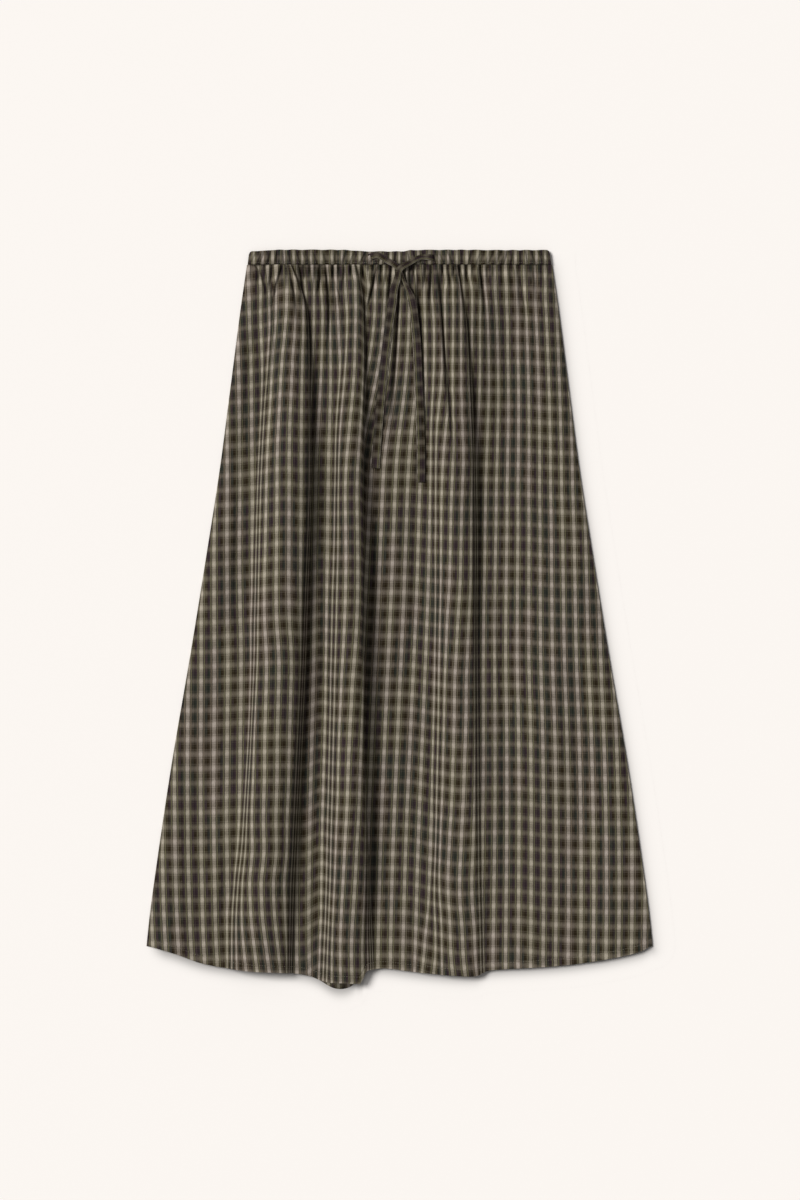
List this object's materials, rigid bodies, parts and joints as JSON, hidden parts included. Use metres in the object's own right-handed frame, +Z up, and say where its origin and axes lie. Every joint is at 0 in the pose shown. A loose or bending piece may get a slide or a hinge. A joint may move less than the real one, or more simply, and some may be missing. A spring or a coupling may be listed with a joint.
{
  "type": "elastic-waist skirt",
  "caption": "A-line elastic-waist skirt in a small woven check, laid flat, gathered under a ruched casing, with soft long folds and a flat tie of the same cloth that crosses at the waist.",
  "frame": {"origin": "on the surface that the skirt lies on, under the middle of the skirt's own box without its ties", "axes": "+Z up from the surface; +Y from the hem to the waistband; +X to the right of someone who looks down at the front with the waistband away from them"},
  "size_m": [0.586, 0.8575, 0.0329],
  "materials": {
    "check_cloth": "matt, fine woven check in dark brown and pale cream",
    "ruched_casing": "matt, the same check drawn up into ribs by the elastic",
    "tie_cloth": "matt, folded strip of the same check with stitched edges"
  },
  "bodies": {
    "root": {"front_panel": "check_cloth", "back_panel": "check_cloth", "waistband_front": "ruched_casing", "waistband_back": "ruched_casing", "tie_left": "tie_cloth", "tie_right": "tie_cloth"}
  },
  "joints": []
}
